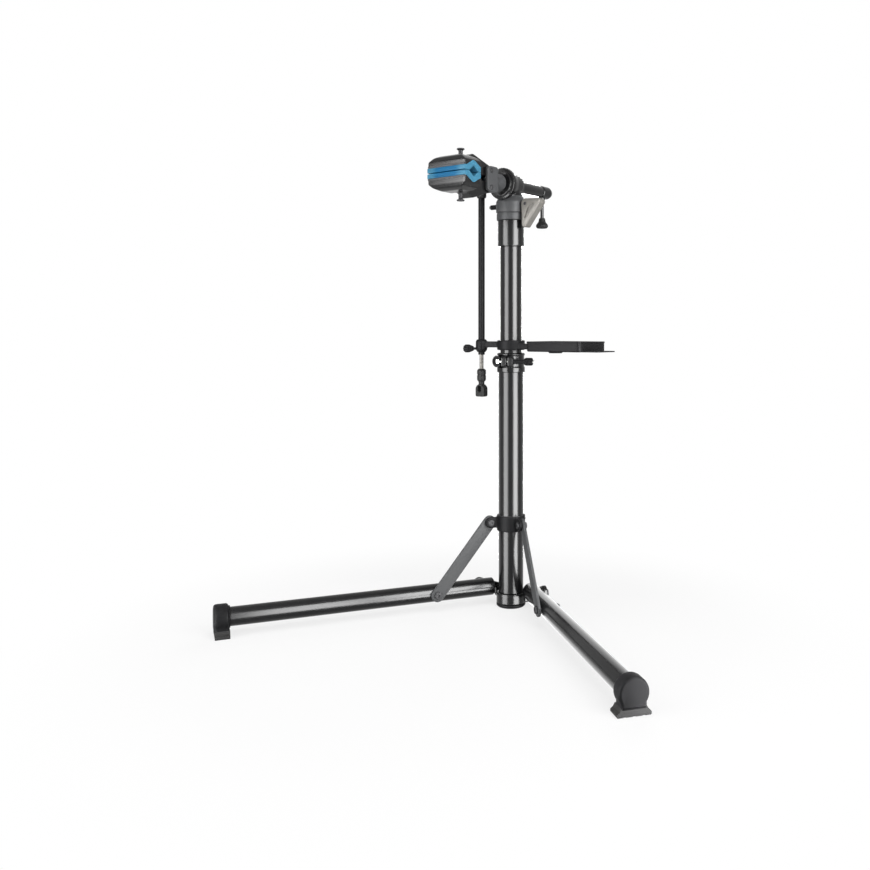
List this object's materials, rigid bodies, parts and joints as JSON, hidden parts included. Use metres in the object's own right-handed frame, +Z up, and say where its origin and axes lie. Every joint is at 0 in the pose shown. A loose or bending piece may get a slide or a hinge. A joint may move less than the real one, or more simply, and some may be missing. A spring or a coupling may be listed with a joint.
{
  "type": "bicycle repair stand",
  "caption": "Folding floor stand that holds a bicycle for repair: telescoping post, folding legs, cranked jaw clamp on a turning arm, tool tray and handlebar bar",
  "frame": {"origin": "centre of the post's foot, on the floor", "axes": "+Z up along the post; the clamp arm points to -Y; the tray lies to +X and the handlebar bar to -X"},
  "size_m": [1.0057, 0.7407, 1.086],
  "materials": {
    "black_coat": "satin",
    "grey_coat": "satin",
    "black_plastic": "matte",
    "grey_plastic": "matte",
    "rubber": "matte",
    "blue_pad": "satin",
    "plated_steel": "polished",
    "dark_steel": "satin",
    "light_alloy": "satin"
  },
  "bodies": {
    "base": {"lower_tube": "black_coat", "post_foot": "black_plastic", "leg_hub": "black_coat", "leg_pivot_bolts": "dark_steel", "height_collar": "black_coat", "height_bush": "grey_plastic", "height_skewer": "plated_steel", "height_nut": "dark_steel", "height_pin": "plated_steel"},
    "height_lever": {"height_lever": "black_plastic"},
    "brace_collar": {"brace_collar": "black_coat", "collar_liner": "grey_plastic", "brace_pins": "dark_steel"},
    "collar_knob": {"collar_knob": "black_plastic"},
    "left_leg": {"left_leg_tube": "black_coat", "left_leg_root": "black_plastic", "left_foot_cap": "black_plastic", "left_foot_sole": "rubber", "left_brace_bolt": "dark_steel"},
    "right_leg": {"right_leg_tube": "black_coat", "right_leg_root": "black_plastic", "right_foot_cap": "black_plastic", "right_foot_sole": "rubber", "right_brace_bolt": "dark_steel"},
    "left_brace": {"left_brace": "grey_coat", "left_brace_stud": "dark_steel"},
    "right_brace": {"right_brace": "grey_coat", "right_brace_stud": "dark_steel"},
    "mast": {"upper_tube": "black_coat", "guide_plug": "grey_plastic", "head_casting": "black_coat", "barrel_bushes": "grey_plastic", "socket_screws": "plated_steel", "lock_skewer": "plated_steel", "lock_nut": "black_plastic", "lock_pin": "dark_steel"},
    "lock_lever": {"lock_lever": "light_alloy"},
    "arm": {"arm_tube": "black_coat", "turn_disc": "black_coat", "rear_ring": "black_coat", "clamp_body": "grey_coat", "jaw_pins": "plated_steel", "tail_bush": "grey_plastic"},
    "crank": {"drive_screw": "plated_steel", "crank_arm": "black_coat", "crank_knob": "rubber"},
    "wedge": {"draw_wedge": "plated_steel"},
    "upper_jaw": {"upper_jaw": "black_coat", "upper_pad": "blue_pad", "upper_pad_screw": "plated_steel"},
    "lower_jaw": {"lower_jaw": "black_coat", "lower_pad": "blue_pad", "lower_pad_screw": "plated_steel"},
    "tray": {"tray_ring": "black_plastic", "tray_dish": "black_coat", "bar_tube": "black_coat", "bar_cap": "rubber"},
    "clip_screw": {"clip_screw": "black_plastic"},
    "bar": {"bar_rod": "plated_steel", "bar_cradle": "rubber"}
  },
  "joints": [
    {"name": "left_leg_fold", "type": "hinge", "parent": "base", "child": "left_leg", "pos_m": [-0.06466, -0.02799, 0.04], "axis": [-0.848, 0.5299, 0], "range_deg": [0, 75]},
    {"name": "right_leg_fold", "type": "hinge", "parent": "base", "child": "right_leg", "pos_m": [0.07033, -0.00419, 0.04], "axis": [-0.6157, -0.788, 0], "range_deg": [0, 75]},
    {"name": "brace_collar_slide", "type": "slide", "parent": "base", "child": "brace_collar", "axis": [0, 0, 1], "range_m": [0, 0.1594]},
    {"name": "left_brace_swing", "type": "hinge", "parent": "brace_collar", "child": "left_brace", "pos_m": [-0.03956, -0.03424, 0.204], "axis": [0.848, -0.5299, 0], "range_deg": [0, 27.51]},
    {"name": "right_brace_swing", "type": "hinge", "parent": "brace_collar", "child": "right_brace", "pos_m": [0.04888, -0.01865, 0.204], "axis": [0.6157, 0.788, 0], "range_deg": [0, 27.51]},
    {"name": "collar_knob_turn", "type": "hinge", "parent": "brace_collar", "child": "collar_knob", "pos_m": [-0.00781, 0.04432, 0.204], "axis": [-0.1736, 0.9848, 0], "continuous": true},
    {"name": "height_lever_open", "type": "hinge", "parent": "base", "child": "height_lever", "pos_m": [-0.004, -0.04821, 0.597], "axis": [0, 0, 1], "range_deg": [0, 100]},
    {"name": "mast_slide", "type": "slide", "parent": "base", "child": "mast", "axis": [0, 0, 1], "range_m": [0, 0.35]},
    {"name": "lock_lever_open", "type": "hinge", "parent": "mast", "child": "lock_lever", "pos_m": [0.052, 0, 0.977], "axis": [0, -1, 0], "range_deg": [0, 80]},
    {"name": "arm_turn", "type": "hinge", "parent": "mast", "child": "arm", "pos_m": [0, 0, 1.026], "axis": [0, -1, 0], "continuous": true},
    {"name": "crank_turn", "type": "hinge", "parent": "arm", "child": "crank", "pos_m": [0, 0.121, 1.026], "axis": [0, -1, 0], "range_deg": [0, 1320]},
    {"name": "wedge_slide", "type": "slide", "parent": "arm", "child": "wedge", "axis": [0, 1, 0], "range_m": [0, 0.0111]},
    {"name": "upper_jaw_open", "type": "hinge", "parent": "arm", "child": "upper_jaw", "pos_m": [0, -0.108, 1.046], "axis": [-1, 0, 0], "range_deg": [0, 18.1]},
    {"name": "lower_jaw_open", "type": "hinge", "parent": "arm", "child": "lower_jaw", "pos_m": [0, -0.108, 1.006], "axis": [1, 0, 0], "range_deg": [0, 18.1]},
    {"name": "tray_swivel", "type": "hinge", "parent": "mast", "child": "tray", "pos_m": [0, 0, 0.636], "axis": [0, 0, 1], "range_deg": [0, 25]},
    {"name": "clip_screw_turn", "type": "hinge", "parent": "tray", "child": "clip_screw", "pos_m": [-0.09744, -0.02249, 0.627], "axis": [-0.9744, -0.2249, 0], "continuous": true},
    {"name": "bar_slide", "type": "slide", "parent": "tray", "child": "bar", "axis": [0, 0, -1], "range_m": [0, 0.2]}
  ],
  "couplings": [
    {"joint": "right_leg_fold", "follows": "left_leg_fold", "ratio": 1},
    {"joint": "brace_collar_slide", "follows": "left_leg_fold", "m_per_rad": 0.12173},
    {"joint": "left_brace_swing", "follows": "left_leg_fold", "ratio": 0.3667},
    {"joint": "right_brace_swing", "follows": "left_leg_fold", "ratio": 0.3667},
    {"joint": "wedge_slide", "follows": "crank_turn", "m_per_rad": 0.00047746},
    {"joint": "upper_jaw_open", "follows": "crank_turn", "ratio": 0.013636},
    {"joint": "lower_jaw_open", "follows": "crank_turn", "ratio": 0.013636}
  ]
}
